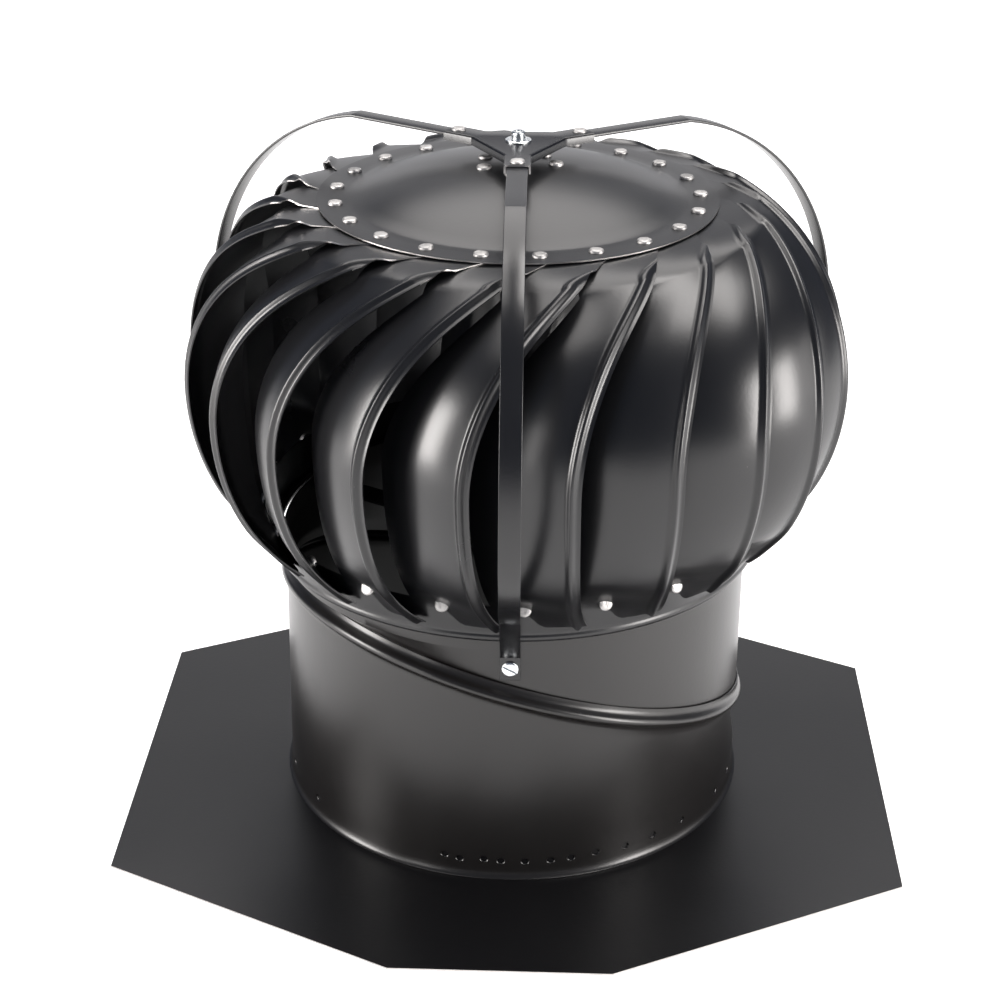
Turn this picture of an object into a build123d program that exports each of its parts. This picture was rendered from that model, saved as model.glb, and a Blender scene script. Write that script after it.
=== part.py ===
from build123d import *
import os
from math import acos, asin, cos, degrees, pi, radians, sin, sqrt

# Wind-driven roof ventilator: a bladed rotor on a two-piece adjustable neck, held by outside braces.
# Origin: centre of the throat, at the underside of the roof flashing. +Z up, -Y front. Millimetres.

# Sheet metal and fits
sheet = 0.8
flashing_sheet = 0.9
brace_thickness = 1.8
seat_gap = 0.3
running_fit = 0.07

# Roof flashing: an octagon with a turned-up collar
flashing_width = 508.0
flashing_depth = 471.0
flashing_forward = 13.0
corner_cut_width = 186.0
corner_cut_depth = 97.0
collar_height = 20.0

# Neck: lower and upper tubes that meet in a circular joint on a slanting plane
neck_radius = 153.0
lower_straight = 24.0
joint_height = 107.0
joint_tilt = 18.4
joint_azimuth = 35.0
joint_spread = 3.0
bead_swell = 4.2
bead_height = 4.0
lip_height = 5.0
bead_bend = 1.2
head_clearance = 11.8
head_straight = 14.0

# Rotor ring
ring_gap = 2.2
ring_lap = 4.0
ring_bead_radius = 2.6
bead_flats = 8
ring_height = 27.0
ring_flare = 7.2

# Blades: the free edge lies on an egg-shaped envelope
blade_count = 21
blade_sheet = 0.8
belly_radius = 211.6
belly_over_foot = 102.0
crown_radius = 108.4
crown_stretch = 1.056
skirt_stretch = 1.245
foot_over_ring = 15.0
blade_corner_radius = 154.7
belly_azimuth = -112.7
top_twist = 16.0
top_hook = 15.2
bottom_twist = 3.7
bottom_hook = 8.1
twist_power = 2
hook_power = 6
belly_lap = 2.4
belly_tuck = 35.0
corner_tuck = 8.0
blade_crown = 5.0
foot_flat_from = 0.6
rib_inset = 3.0
rib_width = 6.0
rib_height = 2.2
end_cut_lean = 13.0
tongue_inner_radius = 108.0
tongue_cover = 1.5
side_gap = 0.5
blade_rows = 7

# Cap
cap_radius = 125.2
crease_radius = 104.0
cap_over_belly = 111.7
dome_rise = 21.5
dome_bands = 5

# Shaft, hub and bearings
shaft_radius = 4.2
shaft_below_arms = 10.0
shaft_nose = 5.2
shaft_chamfer = 0.8
hub_radius = 30.0
hub_flange = 2.0
hub_boss_radius = 9.0
hub_boss_height = 22.0
bearing_radius = 11.0
bearing_floor = 2.0
upper_bearing_height = 9.0
washer_radius = 8.0
washer_thickness = 1.2

# Braces: strips bent round the outside of the rotor
brace_azimuths = {"front": -90.0, "right": 30.0, "left": 150.0}
brace_width = 13.0
brace_over_dome = 10.8
brace_inner_radius = 34.0
brace_level_to = 115.0
brace_clearance = 26.0
shoulder_inset = 34.0
shoulder_fall = 47.0
knee_over_ring = 26.0
knee_clearance = 8.0
foot_top_drop = 16.0
foot_bottom_drop = 36.0
foot_gap = 0.8

# Top spider
spider_sheet = 1.2
spider_radius = 52.0
spider_web_radius = 43.0
spider_lip = 4.4
spider_side_gap = 0.4

# Fasteners
spider_rivet_place = 45.5
rivet_head_radius = 4.5
rivet_head_height = 1.6
screw_drop = 28.0
screw_head_radius = 5.2
screw_head_height = 2.2
screw_slot_width = 1.4
screw_slot_depth = 1.1

# Throat spider
throat_arm_width = 18.0
throat_arm_thickness = 2.0
throat_tab_height = 11.0
throat_hub_radius = 16.0

# Derived places
inner_radius = neck_radius - sheet
joint_radius = neck_radius + joint_spread
collar_radius = inner_radius - seat_gap
joint_low_plane = Plane(
    origin=(0, 0, joint_height),
    x_dir=(
        cos(radians(joint_azimuth)) * cos(radians(joint_tilt)),
        sin(radians(joint_azimuth)) * cos(radians(joint_tilt)),
        -sin(radians(joint_tilt)),
    ),
    z_dir=(
        cos(radians(joint_azimuth)) * sin(radians(joint_tilt)),
        sin(radians(joint_azimuth)) * sin(radians(joint_tilt)),
        cos(radians(joint_tilt)),
    ),
)
upper_straight_from = joint_height + joint_radius * sin(radians(joint_tilt)) + head_clearance
neck_height = upper_straight_from + head_straight
throat_arm_bottom = upper_straight_from
shaft_bottom = throat_arm_bottom - shaft_below_arms
ring_bottom = neck_height - ring_lap
blade_foot_height = ring_bottom + foot_over_ring
belly_height = blade_foot_height + belly_over_foot
cap_height = belly_height + cap_over_belly
crown_rise = crown_stretch * cap_over_belly
skirt_drop = skirt_stretch * belly_over_foot
knee_height = ring_bottom + knee_over_ring
foot_top = neck_height - foot_top_drop
foot_bottom = neck_height - foot_bottom_drop
screw_height = neck_height - screw_drop
level_direction = (cos(radians(joint_azimuth)), sin(radians(joint_azimuth)), 0)
envelope_width = belly_radius - crown_radius
blade_step = 360 / blade_count
ring_inner = neck_radius + ring_gap
ring_foot_radius = ring_inner + ring_bead_radius
ring_top = ring_bottom + ring_height
cap_underside = cap_height - sheet
blade_seat_height = cap_underside - seat_gap
dome_radius = (crease_radius**2 + dome_rise**2) / (2 * dome_rise)
dome_centre = cap_height + dome_rise - dome_radius
brace_height = cap_height + dome_rise + brace_over_dome
spider_underside = brace_height + brace_thickness / 2 + seat_gap
shaft_top = spider_underside + spider_sheet + washer_thickness + shaft_nose


def polar(radius, azimuth, height):
    """Point at a radius, an azimuth in degrees and a height."""
    return Vector(radius * cos(radians(azimuth)), radius * sin(radians(azimuth)), height)


def spin(outline):
    """Full turn of an outline drawn in the XZ plane about the vertical axis."""
    return revolve(make_face(Plane.XZ * outline), Axis.Z)


def tube(outer, wall, bottom, top):
    """Plain vertical tube."""
    return spin(
        Polyline(
            (outer - wall, bottom), (outer, bottom), (outer, top), (outer - wall, top), close=True
        )
    )


def roof_flashing():
    """Octagonal sheet with the throat hole."""
    half_width = flashing_width / 2
    half_depth = flashing_depth / 2
    outline = Polyline(
        (-half_width, half_depth - corner_cut_depth),
        (-half_width, corner_cut_depth - half_depth),
        (corner_cut_width - half_width, -half_depth),
        (half_width - corner_cut_width, -half_depth),
        (half_width, corner_cut_depth - half_depth),
        (half_width, half_depth - corner_cut_depth),
        (half_width - corner_cut_width, half_depth),
        (corner_cut_width - half_width, half_depth),
        close=True,
    )
    plate = Pos(0, -flashing_forward, 0) * extrude(make_face(outline), flashing_sheet)
    return plate - Cylinder(collar_radius - sheet, 4 * flashing_sheet)


def flashing_collar():
    """Turned-up collar that the neck is staked to."""
    return tube(collar_radius, sheet, flashing_sheet + seat_gap, collar_height)


def neck_loft(radius, level, slant_offset):
    """Solid between a level circle and a circle on the slanting joint plane."""
    level_plane = Plane(origin=(0, 0, level), x_dir=level_direction, z_dir=(0, 0, 1))
    slant_plane = joint_low_plane.offset(slant_offset)
    shrink = neck_radius - radius
    ends = [level_plane * Circle(radius), slant_plane * Circle(joint_radius - shrink)]
    if level > joint_height:
        ends.reverse()
    return loft(ends, ruled=True)


def joint_ring(outline):
    """Full turn of an outline, drawn as radius and height, about the slanting joint axis."""
    section = Plane(
        origin=joint_low_plane.origin, x_dir=joint_low_plane.x_dir, z_dir=-joint_low_plane.y_dir
    )
    axis = Axis(joint_low_plane.origin, joint_low_plane.z_dir)
    return revolve(make_face(section * outline), axis)


def lower_neck():
    """Lower tube: straight foot, lofted wall and the swollen channel that holds the upper tube."""
    wall_from = flashing_sheet + seat_gap
    channel_foot = -bead_height
    foot = tube(neck_radius, sheet, wall_from, lower_straight)
    wall = neck_loft(neck_radius, lower_straight, channel_foot)
    wall -= neck_loft(inner_radius, lower_straight, channel_foot)
    inside = joint_radius - sheet
    outside = joint_radius + bead_swell + sheet
    lip = joint_radius + seat_gap
    channel = Polyline(
        (inside, channel_foot),
        (joint_radius, channel_foot),
        (outside - bead_bend, channel_foot),
        (outside, channel_foot + bead_bend),
        (outside, 0),
        (lip + sheet, lip_height + bead_bend),
        (lip, lip_height + bead_bend),
        (outside - sheet, 0 - sheet / 2),
        (outside - sheet, channel_foot + bead_bend + sheet / 2),
        (outside - sheet - bead_bend / 2, channel_foot + sheet),
        (inside, channel_foot + sheet),
        close=True,
    )
    return foot + wall + joint_ring(channel)


def upper_neck():
    """Upper tube: straight head, lofted wall and the flange that turns in the channel."""
    wall_foot = lip_height + bead_bend + sheet
    head = tube(neck_radius, sheet, upper_straight_from, neck_height)
    wall = neck_loft(neck_radius, upper_straight_from, wall_foot)
    wall -= neck_loft(inner_radius, upper_straight_from, wall_foot)
    inside = joint_radius - sheet
    flange_foot = sheet - bead_height + seat_gap
    flange = Polyline(
        (inside, wall_foot),
        (inside, flange_foot),
        (joint_radius + bead_swell - bead_bend, flange_foot),
        (joint_radius + bead_swell - bead_bend, flange_foot + sheet),
        (joint_radius, flange_foot + sheet),
        (joint_radius, wall_foot),
        close=True,
    )
    return head + wall + joint_ring(flange)


def bead_corners():
    """Corners of the rolled bead's cross-section, about its centre."""
    steps = [radians(360 * side / bead_flats) for side in range(bead_flats)]
    return [(ring_bead_radius * cos(step), ring_bead_radius * sin(step)) for step in steps]


def rotor_ring():
    """Rolled bead with the flared wall that carries the blade feet."""
    bead_height_centre = ring_bottom + ring_bead_radius
    bead = spin(Pos(ring_foot_radius, bead_height_centre) * Polyline(*bead_corners(), close=True))
    wall = spin(
        Polyline(
            (ring_foot_radius - sheet, bead_height_centre),
            (ring_foot_radius, bead_height_centre),
            (ring_foot_radius + ring_flare, ring_top),
            (ring_foot_radius + ring_flare - sheet, ring_top),
            close=True,
        )
    )
    return bead + wall


def ring_radius_at(height):
    """Outer radius of the ring's flared wall."""
    climb = (height - ring_bottom - ring_bead_radius) / (ring_height - ring_bead_radius)
    return ring_foot_radius + ring_flare * climb


def envelope_point(latitude):
    """Radius and height of the free edge at a latitude in degrees."""
    rise = crown_rise if latitude > 0 else skirt_drop
    radius = crown_radius + envelope_width * cos(radians(latitude))
    return radius, belly_height + rise * sin(radians(latitude))


def edge_azimuth(latitude):
    """Azimuth of the free edge, which leads more and more towards both ends."""
    twist, hook = (top_twist, top_hook) if latitude > 0 else (bottom_twist, bottom_hook)
    reach = abs(sin(radians(latitude)))
    return belly_azimuth + twist * reach**twist_power + hook * reach**hook_power


def foot_seat_radius(height):
    """Radius of the blade's outer face where it lies on the rotor ring."""
    return ring_radius_at(height) + seat_gap + blade_sheet


def blade_tuck(latitude):
    """How far the inner edge lies behind the free edge."""
    radius, height = envelope_point(latitude)
    if latitude > 0:
        share = cos(pi / 2 * latitude / corner_latitude)
        return corner_tuck + (belly_tuck - corner_tuck) * share
    if height <= ring_top:
        return radius - foot_seat_radius(height)
    ring_tuck = envelope_point(ring_latitude)[0] - foot_seat_radius(ring_top)
    return ring_tuck + (belly_tuck - ring_tuck) * cos(pi / 2 * latitude / ring_latitude)


def blade_point(latitude, share):
    """Point of the blade's outer face, from the free edge at share 0 to the inner edge at 1."""
    radius, height = envelope_point(latitude)
    width = blade_step - side_gap + belly_lap * cos(radians(latitude)) ** 2
    tuck = blade_tuck(latitude)
    if height <= ring_top:
        drop = tuck * min(1, share / foot_flat_from)
    else:
        drop = tuck * (share - 4 * share * (1 - share) * blade_crown / belly_tuck)
    lean = radians(max(latitude, 0))
    azimuth = edge_azimuth(latitude) - width * share
    return polar(radius - drop * cos(lean), azimuth, height - drop * sin(lean))


def blade_shares(latitude):
    """Where the corners of a cross-section lie: the rib near the free edge, then the open sheet."""
    radius = envelope_point(latitude)[0]
    width = radians(blade_step) * radius
    rib_sides = [0, rib_inset, rib_inset + rib_width / 4]
    rib_sides += [rib_inset + rib_width * 3 / 4, rib_inset + rib_width]
    return [side / width for side in rib_sides] + [1 / 3, 2 / 3, 1]


def blade_section(latitude):
    """Closed cross-section of the blade, with its rib raised on both faces."""
    small = 0.01
    lifts = [0, 0, rib_height, rib_height, 0, 0, 0, 0]
    outer = []
    inner = []
    for share, lift in zip(blade_shares(latitude), lifts):
        point = blade_point(latitude, share)
        across = blade_point(latitude, share + small) - blade_point(latitude, share - small)
        along = blade_point(latitude + small, share) - blade_point(latitude - small, share)
        if latitude == foot_latitude:
            along = Vector(0, 0, 1)
        normal = along.cross(across).normalized()
        outer.append(point + normal * lift)
        inner.append(point + normal * (lift - blade_sheet))
    return outer + inner[::-1]


def tongue_section(radius):
    """Closed cross-section of the level tongue that is riveted under the cap."""
    reach = (blade_corner_radius - radius) / (blade_corner_radius - tongue_inner_radius)
    cut_azimuth = edge_azimuth(corner_latitude) - end_cut_lean * reach
    start = polar(radius, cut_azimuth, blade_seat_height)
    end = polar(radius, cut_azimuth - blade_step + side_gap, blade_seat_height)
    outer = [start + (end - start) * share for share in blade_shares(corner_latitude)]
    inner = [point - Vector(0, 0, blade_sheet) for point in outer]
    return outer + inner[::-1]


def facet(*corners):
    """Flat face through the given corners."""
    return Face(Wire.make_polygon(corners, close=True))


def blade():
    """One pressed blade: a twisted shell with a rib along its free edge and a riveting tongue."""
    sections = [blade_section(foot_latitude)]
    span = corner_latitude - ring_latitude
    for row in range(blade_rows):
        sections.append(blade_section(ring_latitude + span * row / (blade_rows - 1)))
    sections.append(tongue_section(cap_radius - tongue_cover))
    sections.append(tongue_section(tongue_inner_radius))
    facets = [facet(*sections[0]), facet(*sections[-1])]
    for lower, upper in zip(sections, sections[1:]):
        for here in range(len(lower)):
            before = here - 1
            if here > len(lower) / 2:
                facets.append(facet(lower[before], lower[here], upper[before]))
                facets.append(facet(lower[here], upper[here], upper[before]))
            else:
                facets.append(facet(lower[before], lower[here], upper[here]))
                facets.append(facet(lower[before], upper[here], upper[before]))
    return Solid(Shell(facets))


def dome_height(radius, depth):
    """Height of the dome's face at a radius, at a depth below the outer face."""
    return dome_centre + sqrt((dome_radius - depth) ** 2 - radius**2)


def rotor_cap():
    """Shallow dome with a level rim that covers the blade tongues."""
    shaft_hole = shaft_radius + 1.0
    under_crease = sqrt((dome_radius - sheet) ** 2 - (cap_underside - dome_centre) ** 2)
    band = (under_crease - shaft_hole) / dome_bands
    outline = [(cap_radius, cap_underside), (cap_radius, cap_height), (crease_radius, cap_height)]
    for step in range(1, dome_bands + 1):
        radius = under_crease - band * step
        outline.append((radius, dome_height(radius, 0)))
    for step in range(dome_bands, -1, -1):
        radius = under_crease - band * step
        outline.append((radius, dome_height(radius, sheet)))
    return spin(Polyline(*outline, close=True))


def cap_hub():
    """Flanged hub under the dome that carries the shaft."""
    bore = shaft_radius + running_fit
    flange_top = dome_centre + sqrt((dome_radius - sheet) ** 2 - hub_radius**2) - seat_gap
    return spin(
        Polyline(
            (bore, flange_top),
            (hub_radius, flange_top),
            (hub_radius, flange_top - hub_flange),
            (hub_boss_radius, flange_top - hub_flange),
            (hub_boss_radius, flange_top - hub_boss_height),
            (bore, flange_top - hub_boss_height),
            close=True,
        )
    )


def shaft():
    """Rotor shaft, from the throat bearing to the nose above the top spider."""
    return spin(
        Polyline(
            (0, shaft_bottom),
            (shaft_radius, shaft_bottom),
            (shaft_radius, shaft_top - shaft_chamfer),
            (shaft_radius - shaft_chamfer, shaft_top),
            (0, shaft_top),
            close=True,
        )
    )


def brace(azimuth):
    """Flat strip from the top spider, round the rotor, to its foot on the upper neck."""
    reach = belly_radius + brace_clearance
    knee_latitude = degrees(asin((knee_height - belly_height) / skirt_drop))
    knee_radius = envelope_point(knee_latitude)[0] + knee_clearance
    foot_radius = neck_radius + foot_gap + brace_thickness / 2
    shoulder = (reach - shoulder_inset, brace_height - shoulder_fall)
    top = (brace_level_to, brace_height)
    belly = (reach, belly_height)
    knee = (knee_radius, knee_height)
    heel = (foot_radius, foot_top)
    shoulder_bend = TangentArc(top, shoulder, tangent=(1, 0))
    flank_bend = TangentArc(shoulder, belly, tangent=shoulder_bend % 1)
    skirt_bend = TangentArc(belly, knee, tangent=flank_bend % 1)
    path = Line((brace_inner_radius, brace_height), top) + shoulder_bend + flank_bend + skirt_bend
    path += Line(knee, heel) + Line(heel, (foot_radius, foot_bottom))
    section = Plane.XZ * trace(path, brace_thickness)
    return Rot(0, 0, azimuth) * extrude(section, brace_width / 2, both=True)


def top_spider():
    """Three-armed plate with folded edges over the inner ends of the braces."""
    arm_width = brace_width + 2 * spider_side_gap + 2 * spider_sheet
    outline = RegularPolygon(spider_web_radius, 3, rotation=-90)
    for azimuth in brace_azimuths.values():
        arm = Pos(spider_radius / 2, 0) * Rectangle(spider_radius, arm_width)
        outline += Rot(0, 0, azimuth) * arm
    plate = extrude(outline, spider_sheet)
    skirt = extrude(outline, -spider_lip) - extrude(offset(outline, -spider_sheet), -spider_lip)
    opening_length = 4 * spider_sheet
    for azimuth in brace_azimuths.values():
        opening = Box(opening_length, arm_width - 2 * spider_sheet, 2 * spider_lip)
        skirt -= Rot(0, 0, azimuth) * Pos(spider_radius, 0, 0) * opening
    hole = Cylinder(shaft_radius + running_fit, 4 * spider_sheet)
    return Pos(0, 0, spider_underside) * (plate + skirt - hole)


def upper_bearing():
    """Bush under the top spider."""
    outer = bearing_radius
    bore = shaft_radius + running_fit
    return tube(outer, outer - bore, spider_underside - upper_bearing_height, spider_underside)


def top_washer():
    """Washer round the shaft nose."""
    bore = shaft_radius + running_fit
    seat = spider_underside + spider_sheet
    return tube(washer_radius, washer_radius - bore, seat, seat + washer_thickness)


def spider_rivets():
    """Domed rivets that hold the braces to the top spider."""
    seat = spider_underside + spider_sheet
    outline = Polyline(
        (0, seat),
        (rivet_head_radius, seat),
        (rivet_head_radius * 3 / 4, seat + rivet_head_height),
        (0, seat + rivet_head_height),
        close=True,
    )
    head = Pos(spider_rivet_place, 0, 0) * spin(outline)
    return Compound([Rot(0, 0, azimuth) * head for azimuth in brace_azimuths.values()])


def brace_screws():
    """Slotted pan-head screws in the feet of the braces."""
    seat = neck_radius + foot_gap + brace_thickness
    head = Rot(0, 90, 0) * Cylinder(
        screw_head_radius, screw_head_height, align=(Align.CENTER, Align.CENTER, Align.MIN)
    )
    slot = Pos(screw_head_height, 0, 0) * Box(
        2 * screw_slot_depth, screw_slot_width, 2 * screw_head_radius
    )
    screw = Pos(seat, 0, screw_height) * (head - slot)
    return Compound([Rot(0, 0, azimuth) * screw for azimuth in brace_azimuths.values()])


def throat_spider():
    """Three-armed bridge inside the upper neck, with upturned tabs on the wall."""
    reach = inner_radius - seat_gap
    low = (Align.MIN, Align.CENTER, Align.MIN)
    bridge = Cylinder(
        throat_hub_radius, throat_arm_thickness, align=(Align.CENTER, Align.CENTER, Align.MIN)
    )
    for azimuth in brace_azimuths.values():
        arm = Box(reach + 1, throat_arm_width, throat_arm_thickness, align=low)
        tab = Pos(reach - throat_arm_thickness - 1, 0, 0) * Box(
            throat_arm_thickness + 2, throat_arm_width, throat_tab_height, align=low
        )
        bridge += Rot(0, 0, azimuth) * (arm + tab)
    rim = Cylinder(reach, 4 * throat_tab_height)
    bore = Cylinder(shaft_radius + 1, 4 * throat_arm_thickness)
    inside_tabs = Pos(0, 0, throat_arm_thickness) * Cylinder(
        reach - throat_arm_thickness, throat_tab_height, align=(Align.CENTER, Align.CENTER, Align.MIN)
    )
    return Pos(0, 0, throat_arm_bottom) * (bridge & rim) - Pos(0, 0, throat_arm_bottom) * (
        bore + inside_tabs
    )


def lower_bearing():
    """Closed cup under the throat spider that carries the shaft's lower end."""
    bore = shaft_radius + running_fit
    floor_top = shaft_bottom - seat_gap
    return spin(
        Polyline(
            (0, floor_top - bearing_floor),
            (bearing_radius, floor_top - bearing_floor),
            (bearing_radius, throat_arm_bottom),
            (bore, throat_arm_bottom),
            (bore, floor_top),
            (0, floor_top),
            close=True,
        )
    )


# Latitudes on the blade envelope where the blade starts, leaves the ring and is cut off
foot_latitude = degrees(asin((blade_foot_height - belly_height) / skirt_drop))
ring_latitude = degrees(asin((ring_top - belly_height) / skirt_drop))
corner_latitude = degrees(acos((blade_corner_radius - crown_radius) / envelope_width))

nodes = {
    "roof_flashing": roof_flashing(),
    "flashing_collar": flashing_collar(),
    "lower_neck": lower_neck(),
    "upper_neck": upper_neck(),
    "throat_spider": throat_spider(),
    "lower_bearing": lower_bearing(),
    "top_spider": top_spider(),
    "spider_rivets": spider_rivets(),
    "upper_bearing": upper_bearing(),
    "top_washer": top_washer(),
    "brace_screws": brace_screws(),
    "rotor_ring": rotor_ring(),
    "rotor_cap": rotor_cap(),
    "cap_hub": cap_hub(),
    "rotor_shaft": shaft(),
}
for place, azimuth in brace_azimuths.items():
    nodes[f"brace_{place}"] = brace(azimuth)
first_blade = blade()
for number in range(blade_count):
    nodes[f"blade_{number + 1:02d}"] = Rot(0, 0, number * blade_step) * first_blade

os.makedirs("parts", exist_ok=True)
for name, shape in nodes.items():
    export_step(shape, f"parts/{name}.step")
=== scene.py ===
import math
import random
import bpy
from mathutils import Matrix, Vector


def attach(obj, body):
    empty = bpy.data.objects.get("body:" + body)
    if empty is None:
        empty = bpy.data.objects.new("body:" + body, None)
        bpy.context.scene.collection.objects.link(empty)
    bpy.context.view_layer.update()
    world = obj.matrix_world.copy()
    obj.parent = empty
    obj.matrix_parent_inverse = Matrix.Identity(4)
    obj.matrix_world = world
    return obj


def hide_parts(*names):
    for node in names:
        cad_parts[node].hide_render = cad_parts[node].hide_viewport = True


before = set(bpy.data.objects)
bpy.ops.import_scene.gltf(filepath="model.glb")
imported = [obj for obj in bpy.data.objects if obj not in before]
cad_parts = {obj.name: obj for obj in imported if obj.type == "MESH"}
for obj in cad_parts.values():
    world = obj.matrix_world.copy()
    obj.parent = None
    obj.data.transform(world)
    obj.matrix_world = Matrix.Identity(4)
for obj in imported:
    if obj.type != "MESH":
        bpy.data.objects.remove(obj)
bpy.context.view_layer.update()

mm = 0.001
random.seed(7)


# Small helpers for work by hand

def clearPick():
    if bpy.context.object and bpy.context.object.mode != "OBJECT":
        bpy.ops.object.mode_set(mode="OBJECT")
    bpy.ops.object.select_all(action="DESELECT")


def pickOnly(piece):
    clearPick()
    piece.select_set(True)
    bpy.context.view_layer.objects.active = piece


def joinPieces(pieces):
    clearPick()
    for piece in pieces:
        piece.select_set(True)
    bpy.context.view_layer.objects.active = pieces[0]
    bpy.ops.object.join()
    return bpy.context.object


def pickEdges(piece, test):
    # leaves the piece in edit mode with the edges that pass the test selected
    bpy.ops.object.mode_set(mode="EDIT")
    bpy.ops.mesh.select_all(action="DESELECT")
    bpy.ops.mesh.select_mode(type="EDGE")
    bpy.ops.object.mode_set(mode="OBJECT")
    points = piece.data.vertices
    for edge in piece.data.edges:
        first, second = edge.vertices
        edge.select = bool(test(points[first].co, points[second].co))
    bpy.ops.object.mode_set(mode="EDIT")


def applyAll(piece):
    pickOnly(piece)
    for mod in list(piece.modifiers):
        bpy.ops.object.modifier_apply(modifier=mod.name)


def cleanUp(piece, reach=0.01 * mm):
    pickOnly(piece)
    bpy.ops.object.mode_set(mode="EDIT")
    bpy.ops.mesh.select_all(action="SELECT")
    bpy.ops.mesh.remove_doubles(threshold=reach)
    bpy.ops.mesh.normals_make_consistent(inside=False)
    bpy.ops.object.mode_set(mode="OBJECT")


def flipFaces(piece):
    pickOnly(piece)
    bpy.ops.object.mode_set(mode="EDIT")
    bpy.ops.mesh.select_all(action="SELECT")
    bpy.ops.mesh.flip_normals()
    bpy.ops.object.mode_set(mode="OBJECT")


def settle(piece):
    pickOnly(piece)
    bpy.ops.object.transform_apply(location=True, rotation=True, scale=True)


def smooth(piece, degrees):
    pickOnly(piece)
    bpy.ops.object.shade_smooth_by_angle(angle=math.radians(degrees))


def addBevel(piece, width, segments, degrees):
    mod = piece.modifiers.new("softEdge", "BEVEL")
    mod.width = width * mm
    mod.segments = segments
    mod.limit_method = "ANGLE"
    mod.angle_limit = math.radians(degrees)
    applyAll(piece)


def addWall(piece, thickness, offset, rimSlot=0):
    mod = piece.modifiers.new("sheetWall", "SOLIDIFY")
    mod.thickness = thickness * mm
    mod.offset = offset
    mod.use_even_offset = True
    mod.material_offset_rim = rimSlot
    applyAll(piece)


def cutAway(piece, cutter):
    mod = piece.modifiers.new("cutAway", "BOOLEAN")
    mod.object = cutter
    mod.operation = "DIFFERENCE"
    mod.solver = "EXACT"
    applyAll(piece)
    bpy.data.objects.remove(cutter)


def turned(name, rings, steps):
    # a turned piece: a circle extruded and resized ring by ring
    clearPick()
    firstRadius, firstHeight = rings[0]
    bpy.ops.mesh.primitive_circle_add(vertices=steps, radius=firstRadius * mm,
                                      location=(0, 0, firstHeight * mm))
    piece = bpy.context.object
    piece.name = name
    settle(piece)
    bpy.ops.object.mode_set(mode="EDIT")
    bpy.ops.mesh.select_all(action="SELECT")
    for (radius, height), (nextRadius, nextHeight) in zip(rings, rings[1:]):
        grow = nextRadius / radius
        climb = (nextHeight - height) * mm
        bpy.ops.mesh.extrude_region_move(TRANSFORM_OT_translate={"value": (0, 0, climb)})
        bpy.ops.transform.resize(value=(grow, grow, 1), center_override=(0, 0, nextHeight * mm))
    bpy.ops.object.mode_set(mode="OBJECT")
    cleanUp(piece)
    return piece


def arcPoints(centre, radius, start, end, count):
    found = []
    for number in range(count + 1):
        angle = math.radians(start + (end - start) * number / count)
        found.append((centre[0] + radius * math.cos(angle), centre[1] + radius * math.sin(angle)))
    return found


def aroundAxis(degrees):
    return Matrix.Rotation(math.radians(degrees), 4, "Z")


def outwards(degrees):
    return Vector((math.cos(math.radians(degrees)), math.sin(math.radians(degrees)), 0))


def setCopy(pattern, name, place):
    twin = pattern.copy()
    twin.data = pattern.data.copy()
    twin.name = name
    bpy.context.scene.collection.objects.link(twin)
    twin.data.transform(place)
    return twin


def paint(piece, *materials):
    piece.data.materials.clear()
    for material in materials:
        piece.data.materials.append(material)


def handOver(piece, body, slot, *nodes):
    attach(piece, body)
    if nodes:
        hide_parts(*nodes)
    return piece


# Material kit: one socket with ordinary arithmetic

class Signal:
    def __init__(self, tree, socket):
        self.tree = tree
        self.socket = socket

    def maths(self, kind, *values):
        node = self.tree.nodes.new("ShaderNodeMath")
        node.operation = kind
        for place, value in enumerate(values):
            if isinstance(value, Signal):
                self.tree.links.new(value.socket, node.inputs[place])
            else:
                node.inputs[place].default_value = value
        return Signal(self.tree, node.outputs[0])

    def __add__(self, other): return self.maths("ADD", self, other)
    def __radd__(self, other): return self.maths("ADD", other, self)
    def __sub__(self, other): return self.maths("SUBTRACT", self, other)
    def __rsub__(self, other): return self.maths("SUBTRACT", other, self)
    def __mul__(self, other): return self.maths("MULTIPLY", self, other)
    def __rmul__(self, other): return self.maths("MULTIPLY", other, self)
    def above(self, limit): return self.maths("GREATER_THAN", self, limit)
    def below(self, limit): return self.maths("LESS_THAN", self, limit)
    def clip(self): return self.maths("MINIMUM", self.maths("MAXIMUM", self, 0.0), 1.0)


mixSocket = {"first": 6, "second": 7, "result": 2}  # the colour sockets of a Mix node


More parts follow.
